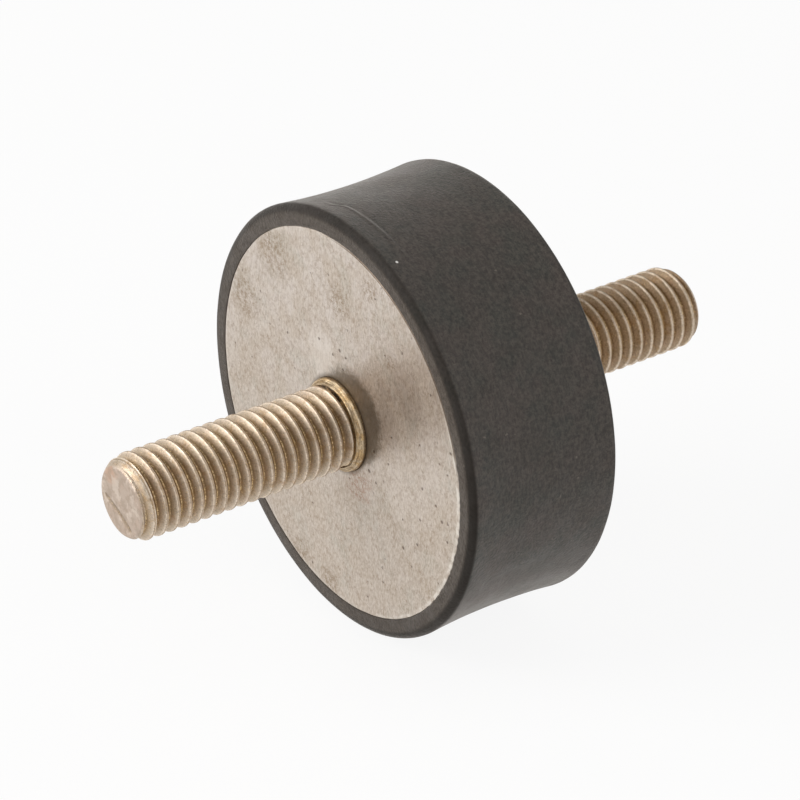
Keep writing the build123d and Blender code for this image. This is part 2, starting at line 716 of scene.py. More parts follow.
    def collar_outline(self) -> Outline:
        """Outline of the swaged ring and the relief behind the thread.

        Returns:
            Pairs of radius and height over the plate's face.
        """
        outer, wall, high = self.collar_radius, self.collar_wall, self.collar_height
        shelf, *crown = [(self.collar_top_radius + out, high - down) for out, down in self.CROWN]
        points = [(outer, 0.0), (outer, wall - 0.1), (outer - 0.03, wall)]
        points += straight(points[-1], shelf, self.ring_step) + crown
        points += [(self.collar_lip_radius + out, high - down) for out, down in self.LIP]
        points += straight(points[-1], (self.collar_lip_radius, self.relief_bottom), self.ring_step)
        return points + [
            (self.relief_radius, self.relief_bottom), (self.relief_radius, self.thread_start)
        ]

    def tip_height(self, radius: np.ndarray, world: np.ndarray) -> np.ndarray:
        """Height of one ring of the flat end, which is uneven and has a shallow dent across it.

        Args:
            radius: Radius of each of its points.
            world: Their angles in the mount's frame, in radians.

        Returns:
            Heights over the plate's face.
        """
        points = on_circle(radius, 0.0, world)
        sunk = self.tip_rough * (0.6 + 0.5 * uneven(points, self.tip_rough_size, Seed.TIP))
        for start, stop in zip(self.DENT, self.DENT[1:]):
            line = np.subtract(stop, start)
            beside = points[..., (0, 2)] - start
            share = np.clip(beside @ line / (line @ line), 0.0, 1.0)
            away = np.linalg.norm(beside - share[..., None] * line, axis=-1)
            sunk = np.maximum(sunk, self.dent_depth * np.exp(-((away / self.dent_half_width) ** 2)))
        return self.sizes.reach - sunk


class Sheet:
    """Adds and links the nodes of one node tree."""

    def __init__(self, tree: bpy.types.NodeTree) -> None:
        """Takes a node tree to work in."""
        self.tree = tree

    def put(self, target: Socket, value: Value) -> None:
        """Feeds a socket with another socket or with a constant.

        Args:
            target: The input.
            value: A socket, a number or a row of numbers.
        """
        if isinstance(value, Socket):
            self.tree.links.new(value, target)
        else:
            target.default_value = (*value, 1.0) if target.type == "RGBA" else value

    def feed(self, made: bpy.types.Node, values: dict[str, Value]) -> bpy.types.Node:
        """Feeds inputs of a node by name.

        Args:
            made: The node.
            values: What each input gets.

        Returns:
            The same node.
        """
        for name, value in values.items():
            self.put(made.inputs[name], value)
        return made

    def node(self, kind: str, *values: Value, **settings: object) -> bpy.types.Node:
        """Adds a node.

        Args:
            kind: Its type.
            values: What its first inputs get, in order.
            settings: Its options.

        Returns:
            The node.
        """
        made = self.tree.nodes.new(kind)
        for name, value in settings.items():
            setattr(made, name, value)
        for target, value in zip(made.inputs, values):
            self.put(target, value)
        return made

    def maths(self, operation: str, *values: Value) -> Socket:
        """Result of a Math node."""
        return self.node("ShaderNodeMath", *values, operation=operation).outputs[0]

    def vector_maths(self, operation: str, *values: Value) -> Socket:
        """Vector result of a Vector Math node."""
        return self.node("ShaderNodeVectorMath", *values, operation=operation).outputs[0]

    def product(self, *values: Value) -> Value:
        """Product of one or more values."""
        return reduce(lambda first, second: self.maths("MULTIPLY", first, second), values)

    def graded(
        self, value: Value, low: Value, high: Value, start: Value = 0.0, stop: Value = 1.0
    ) -> Socket:
        """Smooth rise of a value from start at low to stop at high."""
        wanted = (value, low, high, start, stop)
        return self.node("ShaderNodeMapRange", *wanted, interpolation_type="SMOOTHSTEP").outputs[0]

    def noise(self, place: Value, scale: Value, detail: float = 3.0, roughness: float = 0.55) -> Socket:
        """Value of a Noise Texture node."""
        wanted = {"Vector": place, "Scale": scale, "Detail": detail, "Roughness": roughness}
        return self.feed(self.node("ShaderNodeTexNoise"), wanted).outputs["Fac"]

    def parts(self, place: Value) -> tuple[Socket, ...]:
        """The three coordinates of a place."""
        return tuple(self.node("ShaderNodeSeparateXYZ", place).outputs)

    def joined(self, *values: Value) -> Socket:
        """Vector of three values."""
        return self.node("ShaderNodeCombineXYZ", *values).outputs[0]

    def mixed(self, share: Value, first: Value, second: Value) -> Socket:
        """Colour between two colours.

        Args:
            share: Share of the second colour, from 0 to 1.
            first: The first colour.
            second: The second colour.

        Returns:
            The mixed colour.
        """
        made = self.node("ShaderNodeMix", data_type="RGBA")
        sockets = {s.identifier: s for s in (*made.inputs, *made.outputs)}
        for name, value in {"Factor_Float": share, "A_Color": first, "B_Color": second}.items():
            self.put(sockets[name], value)
        return sockets["Result_Color"]

    def ramp(self, value: Value, stops: Sequence[tuple[float, Colour]]) -> Socket:
        """Colour that changes along a value from 0 to 1.

        Args:
            value: The value.
            stops: Positions and colours, in order.

        Returns:
            The colour.
        """
        made = self.node("ShaderNodeValToRGB", value)
        elements = made.color_ramp.elements
        for position, _ in stops[1:-1]:
            elements.new(position)
        for element, (position, colour) in zip(elements, stops):
            element.position = position
            element.color = (*colour, 1.0)
        return made.outputs[0]

    def effect(self, group: bpy.types.NodeTree, **inputs: Value) -> Sequence[Socket]:
        """Outputs of a shared effect, whose inputs are given with underscores for spaces."""
        wanted = {name.replace("_", " ").capitalize(): value for name, value in inputs.items()}
        return tuple(self.feed(self.node("ShaderNodeGroup", node_tree=group), wanted).outputs)

    def mask(self, group: bpy.types.NodeTree, **inputs: Value) -> Socket:
        """Mask of a shared effect."""
        return self.effect(group, **inputs)[0]


class Group(Sheet):
    """The sheet of a new shader node group."""

    def __init__(self, name: str, labels: Sequence[str], outputs: Sequence[str] = ("Mask",)) -> None:
        """Makes the group and its sockets.

        Args:
            name: Name of the group.
            labels: Names of its inputs.
            outputs: Names of its outputs.
        """
        super().__init__(bpy.data.node_groups.new(name, "ShaderNodeTree"))
        self.labels = labels
        for way, names in (("INPUT", labels), ("OUTPUT", outputs)):
            for label in names:
                kind = "NodeSocketVector" if label in VECTOR_SOCKETS else "NodeSocketFloat"
                self.tree.interface.new_socket(label, in_out=way, socket_type=kind)

    def inputs(self) -> list[Socket]:
        """What the group is given, in the order of its inputs."""
        given = self.node("NodeGroupInput").outputs
        return [given[label] for label in self.labels]

    def give(self, *values: Socket) -> bpy.types.NodeTree:
        """Feeds the group's outputs in order and hands the group over."""
        self.node("NodeGroupOutput", *values)
        return self.tree


def turned_place() -> bpy.types.NodeTree:
    """Place on a piece turned round Y: radius and place along the axis in millimetres, and turn.

    Returns:
        The group.
    """
    group = Group("Turned place", (), ("Place", "Radius", "Along", "Turn", "Wrapped"))
    source = group.node("ShaderNodeTexCoord").outputs["Object"]
    scaled = group.node("ShaderNodeVectorMath", source, operation="SCALE")
    place = group.feed(scaled, {"Scale": 1 / MM}).outputs[0]
    x, y, z = group.parts(place)
    squares = group.maths("ADD", group.product(x, x), group.product(z, z))
    radius, turn = group.maths("SQRT", squares), group.maths("ARCTAN2", z, x)
    return group.give(place, radius, y, turn, group.joined(group.product(turn, radius), y, radius))


def mottle_mask() -> bpy.types.NodeTree:
    """Soft cloudy patches of a given size.

    Returns:
        The group.
    """
    group = Group("Mottle", ("Place", "Size", "Low", "High"))
    place, size, low, high = group.inputs()
    clouds = group.noise(place, group.maths("DIVIDE", 1.0, size), 5.0, 0.6)
    return group.give(group.graded(clouds, low, high))


def speck_mask() -> bpy.types.NodeTree:
    """Scattered small round specks, of which only a share shows.

    Returns:
        The group.
    """
    group = Group("Specks", ("Place", "Spacing", "Size", "Share"))
    place, spacing, size, share = group.inputs()
    wobble = group.feed(group.node("ShaderNodeTexNoise"), {"Vector": place, "Scale": 2.5})
    bent = group.vector_maths("MULTIPLY_ADD", wobble.outputs["Color"], (0.5, 0.5, 0.5), place)
    scale = group.maths("DIVIDE", 1.0, spacing)
    cells = group.feed(group.node("ShaderNodeTexVoronoi"), {"Vector": bent, "Scale": scale}).outputs
    chance, variety, _ = group.node("ShaderNodeSeparateColor", cells["Color"]).outputs
    size = group.product(size, group.maths("ADD", 0.4, variety))
    spot = group.graded(cells["Distance"], group.product(size, 0.4), size, 1.0, 0.0)
    return group.give(group.product(spot, group.maths("LESS_THAN", chance, share)))


def grain_mask() -> bpy.types.NodeTree:
    """Fine streaks that run along the first coordinate of the place.

    Returns:
        The group.
    """
    group = Group("Grain", ("Place", "Length", "Width", "Contrast"), ("Mask", "Height"))
    place, length, width, contrast = group.inputs()
    across = group.maths("DIVIDE", 1.0, width)
    scale = group.joined(group.maths("DIVIDE", 1.0, length), across, across)
    streaks = group.noise(group.vector_maths("MULTIPLY", place, scale), 1.0, 3.0, 0.65)
    half = group.product(contrast, 0.5)
    low, high = group.maths("SUBTRACT", 0.5, half), group.maths("ADD", 0.5, half)
    return group.give(group.graded(streaks, low, high), streaks)


def band_mask() -> bpy.types.NodeTree:
    """A soft-edged band of values about a middle.

    Returns:
        The group.
    """
    group = Group("Band", ("Value", "Middle", "Half width", "Softness"))
    value, middle, half_width, softness = group.inputs()
    away = group.maths("ABSOLUTE", group.maths("SUBTRACT", value, middle))
    outer = group.maths("ADD", half_width, softness)
    return group.give(group.graded(away, half_width, outer, 1.0, 0.0))


def stain_and_shadow_mask() -> bpy.types.NodeTree:
    """A round spot round a centre, for stains and for painted shadow, with an edge that a noise from 0 to
    1 breaks up.

    Returns:
        The group.
    """
    labels = ("Place", "Centre", "Size", "Noise", "Ragged", "Softness", "Strength")
    group = Group("Stain and shadow", labels)
    place, centre, size, noisy, ragged, softness, strength = group.inputs()
    apart = group.node("ShaderNodeVectorMath", place, centre, operation="DISTANCE").outputs["Value"]
    broken = group.product(group.maths("SUBTRACT", noisy, 0.5), ragged)
    share = group.maths("ADD", group.maths("DIVIDE", apart, size), broken)
    outer, inner = group.maths("ADD", 1.0, softness), group.maths("SUBTRACT", 1.0, softness)
    return group.give(group.graded(share, inner, outer, strength, 0.0))


class Effects:
    """Shader node groups that more than one finish uses."""

    def __init__(self) -> None:
        """Builds each group once."""
        self.turned = turned_place()
        self.mottle = mottle_mask()
        self.specks = speck_mask()
        self.grain = grain_mask()
        self.band = band_mask()
        self.stain_and_shadow = stain_and_shadow_mask()


class Coat(Sheet):
    """The nodes of one material: its shader, the place on the piece and the colour laid so far."""

    def __init__(self, name: str, effects: Effects) -> None:
        """Makes a material with one Principled shader.

        Args:
            name: Name of the material.
            effects: The shared effects.
        """
        self.material = bpy.data.materials.new(name)
        self.material.use_nodes = True
        self.material.node_tree.nodes.clear()
        super().__init__(self.material.node_tree)
        self.shader = self.node("ShaderNodeBsdfPrincipled")
        self.node("ShaderNodeOutputMaterial", self.shader.outputs[0])
        self.place, self.radius, self.along, self.turn, self.wrapped = self.effect(effects.turned)
        self.colour: Value = BLACK

    def lay(self, colour: Value, *shares: Value) -> None:
        """Lays a colour over the one so far, by the product of shares, or all over without any."""
        self.colour = self.mixed(self.product(*shares), self.colour, colour) if shares else colour

    def moved(self, place: Socket, x: float, y: float, z: float) -> Socket:
        """A place moved aside, where an effect looks different."""
        return self.vector_maths("ADD", place, (x, y, z))

    def patches(
        self, scale: float, detail: float, roughness: float, low: float, high: float,
        start: float = 0.0, stop: float = 1.0,
    ) -> Socket:
        """Noise over the place, graded from start at low to stop at high."""
        return self.graded(self.noise(self.place, scale, detail, roughness), low, high, start, stop)

    def done(self, bumps: Sequence[tuple[Socket, float]], values: dict[str, Value]) -> bpy.types.Material:
        """Feeds the shader.

        Args:
            bumps: Height sockets with the height in millimetres that a value of 1 stands for.
            values: What the shader's inputs get besides colour and normal.

        Returns:
            The material.
        """
        normal: dict[str, Value] = {}
        for height, depth in bumps:
            wanted = {"Distance": depth * MM, "Height": height, **normal}
            normal = {"Normal": self.feed(self.node("ShaderNodeBump"), wanted).outputs[0]}
        self.feed(self.shader, {"Base Color": self.colour, **values, **normal})
        return self.material


@dataclass(frozen=True)
class RubberFinish:
    """Matt charcoal rubber, cloudy, scuffed and dusty, paler on the end rings, with painted shade on the
    rounded rim corners.
    """

    effects: Effects
    sizes: Sizes
    name: str = "moulded_rubber"
    dark: Colour = linear(53, 49, 46)
    green: Colour = linear(48, 49, 46)
    purple: Colour = linear(65, 56, 53)
    ring: Colour = linear(54, 45, 37)
    # Painted shade for the rounded rim corner
    corner: Colour = linear(24, 17, 10)
    dust: Colour = linear(118, 110, 101)
    shade: Colour = linear(32, 29, 27)
    bright_speck: Colour = linear(226, 224, 220)
    bright_speck_place: tuple[float, float, float] = (8.66, -8.0, 23.28)

    def build(self) -> bpy.types.Material:
        """Makes the material.

        Returns:
            The material.
        """
        fx, coat = self.effects, Coat(self.name, self.effects)
        place, to_end = coat.place, coat.maths("ABSOLUTE", coat.along)
        end, rim = self.sizes.half_length, self.sizes.radius
        coat.lay(self.dark)
        coat.lay(self.green, coat.mask(fx.mottle, place=place, size=6.0, low=0.42, high=0.6))
        moved = coat.moved(place, 31.0, 7.0, 53.0)
        coat.lay(self.purple, coat.mask(fx.mottle, place=moved, size=5.0, low=0.45, high=0.62), 0.5)
        coat.lay(self.ring, coat.graded(to_end, end - 0.12, end - 0.03))

        coat.lay(self.dust, coat.patches(2.2, 5.0, 0.75, 0.4, 0.62), 0.24)
        coat.lay(self.shade, coat.patches(3.6, 3.0, 0.7, 0.5, 0.66), 0.38)
        fibres, fibre_height = coat.effect(
            fx.grain, place=coat.wrapped, length=0.9, width=0.22, contrast=0.3
        )
        coat.lay(self.dust, fibres, 0.12)
        coat.lay(self.dust, coat.mask(fx.specks, place=place, spacing=1.3, size=0.12, share=0.3), 0.6)
        # Painted shade in a band over the rounded rim corner, strongest low down; the same band is also
        # made rougher
        band = coat.mask(fx.band, value=coat.radius, middle=rim - 0.35, half_width=0.3, softness=0.6)
        near_end = coat.graded(to_end, end - 0.85, end - 0.5)
        low_down = coat.graded(coat.maths("SINE", coat.turn), -0.1, 0.7, 1.0, 0.75)
        corner_shade_mask = coat.product(band, near_end, low_down)
        coat.lay(self.corner, corner_shade_mask, 0.95)
        speck = coat.mask(
            fx.stain_and_shadow, place=place, centre=self.bright_speck_place, size=0.16, noise=0.5, ragged=0.0,
            softness=0.3, strength=1.0,
        )
        coat.lay(self.bright_speck, speck)
        rough = coat.patches(0.35, 3.0, 0.55, 0.35, 0.65, 0.46, 0.6)
        return coat.done(
            [(coat.noise(place, 3.2, 4.0, 0.65), 0.07), (fibre_height, 0.02)],
            {
                "Roughness": coat.maths("MULTIPLY_ADD", corner_shade_mask, 0.25, rough),
                "Specular IOR Level": 0.28,
                "Sheen Weight": 0.5,
                "Sheen Roughness": 0.35,
                "Sheen Tint": (1.0, 0.94, 0.88),
            },
        )


@dataclass(frozen=True)
class StainsAndShadow:
    """Spots of one kind on the front plate's face: its stains and pits, and also the painted shadow of
    the stud.

    Each spot has its X, its Z and its radius. A noise breaks up the edges by the raggedness, and a
    marked spot is broken up inside as well.
    """

    colour: Colour
    spots: tuple[tuple[float, float, float], ...]
    ragged: float
    softness: float
    strength: float
    marked: bool = False

    def masks(self, coat: Coat, effects: Effects, face: float, noisy: Socket) -> list[Socket]:
        """Masks of the spots.

        Args:
            coat: The coat that they are laid on.
            effects: The shared effects.
            face: Distance of the face from the middle of the mount.
            noisy: The noise that breaks up their edges.

        Returns:
            One mask for each spot.
        """
        return [
            coat.mask(
                effects.stain_and_shadow, place=coat.place, centre=(x, -face, z), size=size, noise=noisy,
                ragged=self.ragged, softness=self.softness, strength=self.strength,
            )
            for x, z, size in self.spots
        ]


@dataclass(frozen=True)
class PlateFinish:
    """Bare brushed steel, warm grey, pitted and stained, with a bright worn edge that is partly a painted
    highlight.

    Painted shade darkens the foot of the stud's ring and the upper right edge, and a painted shadow of
    the stud lies right of the ring.
    """

    effects: Effects
    sizes: Sizes
    collar_radius: float
    name: str = "brushed_plate_steel"
    light: Colour = linear(204, 193, 184)
    tan: Colour = linear(179, 163, 145)
    green: Colour = linear(178, 171, 158)
    bright: Colour = linear(226, 217, 207)
    # Worn edge, brightened as a painted highlight
    worn_edge_and_highlight: Colour = linear(232, 225, 215)
    # Colour of the pits, also used as painted shade on the upper right edge
    pit_and_edge_shade: Colour = linear(84, 66, 50)
    shade: Colour = linear(108, 96, 80)
    freckle: Colour = linear(146, 124, 104)
    stains_and_shadow: tuple[StainsAndShadow, ...] = (
        StainsAndShadow(bright, ((-3.0, 7.2, 2.6),), 2.4, 0.35, 0.45),
        StainsAndShadow(
            linear(134, 110, 80),
            (
                (-12.7, 15.9, 2.8), (-18.2, 8.0, 2.4), (0.2, 15.2, 1.9), (6.0, 19.3, 1.4),
                (9.9, 12.2, 0.9), (-7.9, -20.3, 1.8), (-1.9, -21.2, 1.6),
            ),
            2.0, 0.6, 0.62, marked=True,
        ),
        StainsAndShadow(linear(150, 96, 66), ((3.8, -5.6, 2.1),), 2.6, 0.7, 0.55, marked=True),
        # Painted shadow of the stud, right of its ring
        StainsAndShadow(shade, ((2.6, 2.2, 5.5),), 0.5, 0.13, 0.72),
    )
    pits: StainsAndShadow = StainsAndShadow(
        pit_and_edge_shade,
        (
            (19.4, -2.9, 0.2), (18.3, -1.4, 0.17), (15.8, -0.5, 0.17), (20.4, -4.9, 0.16),
            (15.4, -4.6, 0.15), (12.3, -9.7, 0.2), (14.9, -8.0, 0.17), (5.9, -3.1, 0.24),
            (9.5, -0.5, 0.16), (7.2, -4.0, 0.16), (6.8, -0.2, 0.2), (0.4, 9.4, 0.2),
            (-0.9, 8.3, 0.16), (1.0, 7.3, 0.18),
        ),
        1.6, 0.4, 1.0,
    )

    def build(self) -> bpy.types.Material:
        """Makes the material.

        Returns:
            The material.
        """
        fx, coat = self.effects, Coat(self.name, self.effects)
        face, rim = self.sizes.half_length, self.sizes.plate_radius
        x, y, z = coat.parts(coat.place)
        upright = coat.joined(z, x, y)
        grain, grain_height = coat.effect(fx.grain, place=upright, length=1.2, width=0.4, contrast=0.26)
        fine, fine_height = coat.effect(fx.grain, place=upright, length=0.5, width=0.2, contrast=0.26)
        clouds = coat.mask(fx.mottle, place=upright, size=5.0, low=0.42, high=0.62)
        moved = coat.moved(upright, 17.0, 5.0, 29.0)
        greens = coat.mask(fx.mottle, place=moved, size=4.0, low=0.5, high=0.66)
        coat.lay(self.light)
        coat.lay(self.tan, clouds, 0.65)
        coat.lay(self.tan, coat.graded(z, -14.0, 14.0, 0.6, 0.0))
        coat.lay(self.green, greens, 0.6)
        coat.lay(self.tan, grain, 0.5)
        coat.lay(self.bright, fine, 0.5)
        coat.lay(self.freckle, coat.patches(1.9, 5.0, 0.8, 0.51, 0.61), 0.42)

        broken = coat.noise(coat.place, 1.6, 5.0, 0.75)
        marks = coat.patches(2.3, 5.0, 0.85, 0.44, 0.58)
        # Lays the stains and the painted shadow of the stud
        for stains_and_shadow in self.stains_and_shadow:
            for mask in stains_and_shadow.masks(coat, fx, face, broken):
                coat.lay(stains_and_shadow.colour, *((mask, marks) if stains_and_shadow.marked else (mask,)))
        pits = self.all_pits(coat, broken)
        coat.lay(self.pit_and_edge_shade, pits, 0.7)
        # Bright edge, partly real wear and partly a painted highlight, shown most at the lower right
        edge = coat.mask(fx.band, value=coat.radius, middle=rim - 0.15, half_width=0.15, softness=0.3)
        low_right = coat.mask(fx.band, value=coat.turn, middle=-0.35, half_width=0.65, softness=0.3)
        shown = coat.maths("MULTIPLY_ADD", low_right, 0.65, 0.35)
        worn = coat.product(coat.patches(0.8, 4.0, 0.6, 0.4, 0.6, 0.1, 0.8), shown)
        coat.lay(self.worn_edge_and_highlight, edge, worn)
        # Painted shade that dulls the upper right edge, in the pits' colour
        high_right = coat.mask(fx.band, value=coat.turn, middle=0.9, half_width=0.5, softness=0.35)
        coat.lay(self.pit_and_edge_shade, high_right, coat.graded(coat.radius, rim - 0.24, rim - 0.16, 0.0, 0.85))
        # Painted shade round the foot of the stud's ring
        collar = self.collar_radius
        coat.lay(self.shade, coat.graded(coat.radius, collar, collar + 0.7, 0.7, 0.0))
        holes = coat.maths("SUBTRACT", 1.0, pits)
        return coat.done(
            [(grain_height, 0.03), (fine_height, 0.012), (holes, 0.03)],
            {"Metallic": 0.85, "Roughness": coat.graded(clouds, 0.0, 1.0, 0.38, 0.46)},
        )

    def all_pits(self, coat: Coat, broken: Socket) -> Socket:
        """Mask of the pits, both the scattered ones and those that have a place of their own.

        Args:
            coat: The coat of the plate.
            broken: The noise that breaks up the edges.

        Returns:
            The mask.
        """
        specks = self.effects.specks
        large = coat.mask(specks, place=coat.place, spacing=1.7, size=0.16, share=0.45)
        small = coat.mask(specks, place=coat.place, spacing=0.8, size=0.22, share=0.5)
        own = self.pits.masks(coat, self.effects, self.sizes.half_length, broken)
        return reduce(lambda *two: coat.maths("MAXIMUM", *two), (large, coat.product(small, 0.35), *own))


@dataclass(frozen=True)
class StudFinish:
    """Yellowish plated steel whose colour changes across each turn of the thread.

    Painted highlights and glints lie along the crests, painted shade in the dent across the flat end, and
    painted light with patches of painted shade in the relief.
    """

    effects: Effects
    stud: Stud
    # Colours from one root over the plate side, the crest and the tip side to the next root: the
    # plating's tone, with painted highlight lines on and beside the crest and a darker plate side as
    # painted reflection
    across: tuple[tuple[float, int, int, int], ...] = (
        (0.0, 168, 139, 102), (0.05, 132, 104, 70), (0.1, 130, 102, 70), (0.2, 184, 158, 130),
        (0.35, 182, 160, 134), (0.39, 244, 227, 206), (0.43, 255, 243, 226), (0.47, 214, 192, 168),
        (0.51, 178, 156, 132), (0.56, 200, 182, 162), (0.6, 244, 230, 212), (0.64, 216, 200, 181),
        (0.72, 200, 183, 162), (0.8, 200, 180, 155), (0.86, 180, 156, 126), (0.92, 150, 121, 84),
        (1.0, 168, 139, 102),
    )
    olive: Colour = linear(146, 130, 100)
    rose: Colour = linear(190, 160, 138)
    grit: Colour = linear(92, 72, 48)
    painted_glint: Colour = linear(238, 210, 160)
    nose: Colour = linear(204, 188, 170)
    face_light: Colour = linear(192, 175, 160)
    face_shade: Colour = linear(164, 146, 128)
    face_bright: Colour = linear(226, 212, 198)
    face_pink: Colour = linear(204, 166, 140)
    # Painted shade for the dent across the flat end
    dent: Colour = linear(120, 100, 80)
    amber: Colour = linear(168, 130, 82)
    ring: Colour = linear(220, 200, 168)
    ring_gold: Colour = linear(204, 172, 124)
    ring_dark: Colour = linear(116, 92, 68)
    # Painted light for the shaded relief, and painted shade for patches of it
    relief: Colour = linear(232, 204, 160)
    relief_shade: Colour = linear(84, 62, 42)
    pink_place: Pair = (-2.2, 2.6)

    def build(self) -> bpy.types.Material:
        """Makes the material.

        Returns:
            The material.
        """
        fx, stud, reach = self.effects, self.stud, self.stud.sizes.reach
        coat = Coat(f"{stud.end.value}_stud_plating", fx)
        place = coat.place
        beyond = coat.maths("SUBTRACT", coat.maths("ABSOLUTE", coat.along), stud.sizes.half_length)
        fine = coat.noise(place, 4.0, 4.0, 0.75)
        across = self.across_turn(coat, fine)
        # The ramp holds painted highlights along the crests
        coat.lay(coat.ramp(across, [(position, linear(*rgb)) for position, *rgb in self.across]))
        # Painted glints along the roots of the thread
        in_root = coat.mask(fx.band, value=across, middle=0.97, half_width=0.03, softness=0.05)
        coat.lay(self.painted_glint, in_root, coat.patches(3.4, 2.0, 0.6, 0.5, 0.58), 0.85)

        coat.lay(self.nose, coat.graded(beyond, reach - 0.75, reach - 0.35))
        flat = coat.graded(beyond, reach - 0.14, reach - 0.1)
        on_thread = coat.maths("SUBTRACT", 1.0, flat)
        pink = coat.mask(
            fx.stain_and_shadow, place=place, centre=stud.tip_point(*self.pink_place), size=1.3,
            noise=coat.noise(place, 1.3, 4.0, 0.7), ragged=2.0, softness=0.5, strength=0.6,
        )
        coat.lay(coat.mixed(pink, self.face_light, self.face_pink), flat)

        clouds = coat.mask(fx.mottle, place=place, size=1.4, low=0.42, high=0.62)
        moved = coat.moved(place, 11.0, 3.0, 23.0)
        blush = coat.mask(fx.mottle, place=moved, size=1.1, low=0.48, high=0.68)
        tinge = coat.mask(fx.mottle, place=moved, size=1.3, low=0.54, high=0.66)
        coat.lay(self.olive, clouds, on_thread, 0.2)
        coat.lay(self.rose, blush, 0.25)
        coat.lay(self.amber, tinge, on_thread, 0.4)
        streak_height = self.lay_ring(coat, beyond)

        coat.lay(self.grit, coat.graded(fine, 0.36, 0.52, 0.35, 0.0), on_thread)
        smears = coat.mask(fx.mottle, place=place, size=0.9, low=0.44, high=0.58)
        coat.lay(self.face_shade, smears, flat, 0.45)
        rubbed = coat.mask(fx.mottle, place=moved, size=1.6, low=0.5, high=0.6)
        coat.lay(self.face_bright, rubbed, flat, 0.5)
        # Painted shade in the dent, darker where it is deeper
        dent_shade_mask = coat.graded(beyond, reach - 0.15, reach - 0.04, 0.55, 0.0)
        on_face = coat.graded(coat.radius, stud.tip_radius - 0.5, stud.tip_radius - 0.35, 1.0, 0.0)
        coat.lay(self.dent, dent_shade_mask, on_face, coat.graded(beyond, reach - 0.3, reach - 0.25))
        # Painted glints scattered over the thread
        coat.lay(self.painted_glint, coat.patches(6.0, 2.0, 0.6, 0.6, 0.68, 0.0, 0.7), on_thread, 0.8)
        return coat.done(
            [(streak_height, 0.02), (fine, 0.03)],
            {"Metallic": 0.75, "Roughness": coat.graded(fine, 0.35, 0.65, 0.54, 0.45)},
        )

    def lay_ring(self, coat: Coat, beyond: Socket) -> Socket:
        """Lays the colours of the relief, painted light with patches of painted shade, and of the swaged
        ring.

        Args:
            coat: The coat of the stud.
            beyond: Height over the plate's face.

        Returns:
            Height of the ring's streaks.
        """
        stud = self.stud
        start, lip = stud.thread_start, stud.collar_lip_radius
        streaks, streak_height = coat.effect(
            self.effects.grain, place=coat.wrapped, length=1.8, width=0.14, contrast=0.3
        )
        gilt = coat.graded(coat.noise(coat.wrapped, 0.6, 3.0, 0.7), 0.45, 0.58)
        ringed = coat.mixed(gilt, self.ring, self.ring_gold)
        ringed = coat.mixed(coat.product(streaks, 0.75), ringed, self.ring_dark)
        ringed = coat.mixed(coat.graded(beyond, 0.05, 0.4, 0.8, 0.0), ringed, self.ring_dark)
        # The relief is painted light so that its shaded gap shows brown, with random patches of painted
        # shade
        relief_shade_patches = coat.patches(0.45, 3.0, 0.7, 0.46, 0.56)
        relief = coat.mixed(relief_shade_patches, self.relief, self.relief_shade)
        coat.lay(relief, coat.graded(beyond, start + 0.1, start + 0.5, 0.85, 0.0))
        below_thread = coat.graded(beyond, start - 0.02, start, 1.0, 0.0)
        coat.lay(ringed, below_thread, coat.graded(coat.radius, lip - 0.24, lip - 0.18))
        return streak_height

    def across_turn(self, coat: Coat, fine: Socket) -> Socket:
        """Place across a turn of the thread, blurred by noise: 0 and 1 in the roots, 0.5 on the crest.

        Args:
            coat: The coat of the stud.
            fine: Fine noise.

        Returns:
            The place across the turn.
        """
        stud = self.stud
        start = stud.turn / 360 - (stud.sizes.half_length + stud.thread_start) / stud.pitch
        sense = -1 if stud.end is End.FRONT else 1
        along = coat.product(coat.maths("ABSOLUTE", coat.along), 1 / stud.pitch)
        share = coat.maths("MULTIPLY_ADD", coat.turn, sense / (2 * math.pi), along)
        share = coat.maths("ADD", share, start)
        blurred = coat.maths("MULTIPLY_ADD", coat.maths("SUBTRACT", fine, 0.5), 0.1, share)
        return coat.maths("FRACT", blurred)


def direction(azimuth: float, elevation: float) -> Vector:
    """Unit vector from the mount towards a viewer, where azimuth 0 looks along +Y and 90 along -X."""
    a, e = math.radians(azimuth), math.radians(elevation)
    return Vector((math.sin(a) * math.cos(e), -math.cos(a) * math.cos(e), math.sin(e)))


@dataclass(frozen=True)
class Lamp:
    """A square soft lamp aimed at the middle of the mount, with its distance and side in metres."""

    name: str
    azimuth: float
    elevation: float
    distance: float
    side: float
    watts: float
    tint: Colour = WHITE

    def build(self) -> None:
        """Makes the lamp."""
        data = bpy.data.lights.new(self.name, "AREA")
        data.shape = "SQUARE"
        data.size = self.side
        data.energy = self.watts
        data.color = self.tint
        lamp = linked(self.name, data)
        towards = direction(self.azimuth, self.elevation)
        lamp.location = towards * self.distance
        lamp.rotation_mode = "QUATERNION"
        lamp.rotation_quaternion = towards.to_track_quat("Z", "Y")


@dataclass(frozen=True)
class Viewpoint:
    """The camera of the photograph: sizes in millimetres, focal length in pixels."""

    azimuth: float = 54.624
    elevation: float = 29.963
    distance: float = 456.414
    across: float = 1.173
    above: float = -0.184
    focal_pixels: float = 4123.752
    clip: Pair = (0.01, 20.0)

    def build(self) -> None:
        """Makes the camera and gives it to the scene."""
        data = bpy.data.cameras.new("photo_camera")
        data.sensor_fit = "HORIZONTAL"
        data.sensor_width = SENSOR_WIDTH
        data.lens = SENSOR_WIDTH * self.focal_pixels / PHOTO_SIDE
        data.clip_start, data.clip_end = self.clip
        camera = linked("photo_camera", data)
        turn = math.radians(self.azimuth)
        back = direction(self.azimuth, self.elevation)
        right = Vector((math.cos(turn), math.sin(turn), 0.0))
        up = back.cross(right)
        eye = (back * self.distance + up * self.above - right * self.across) * MM
        axes = Matrix((right, up, back)).transposed()
        camera.matrix_world = Matrix.Translation(eye) @ axes.to_4x4()
        bpy.context.scene.camera = camera


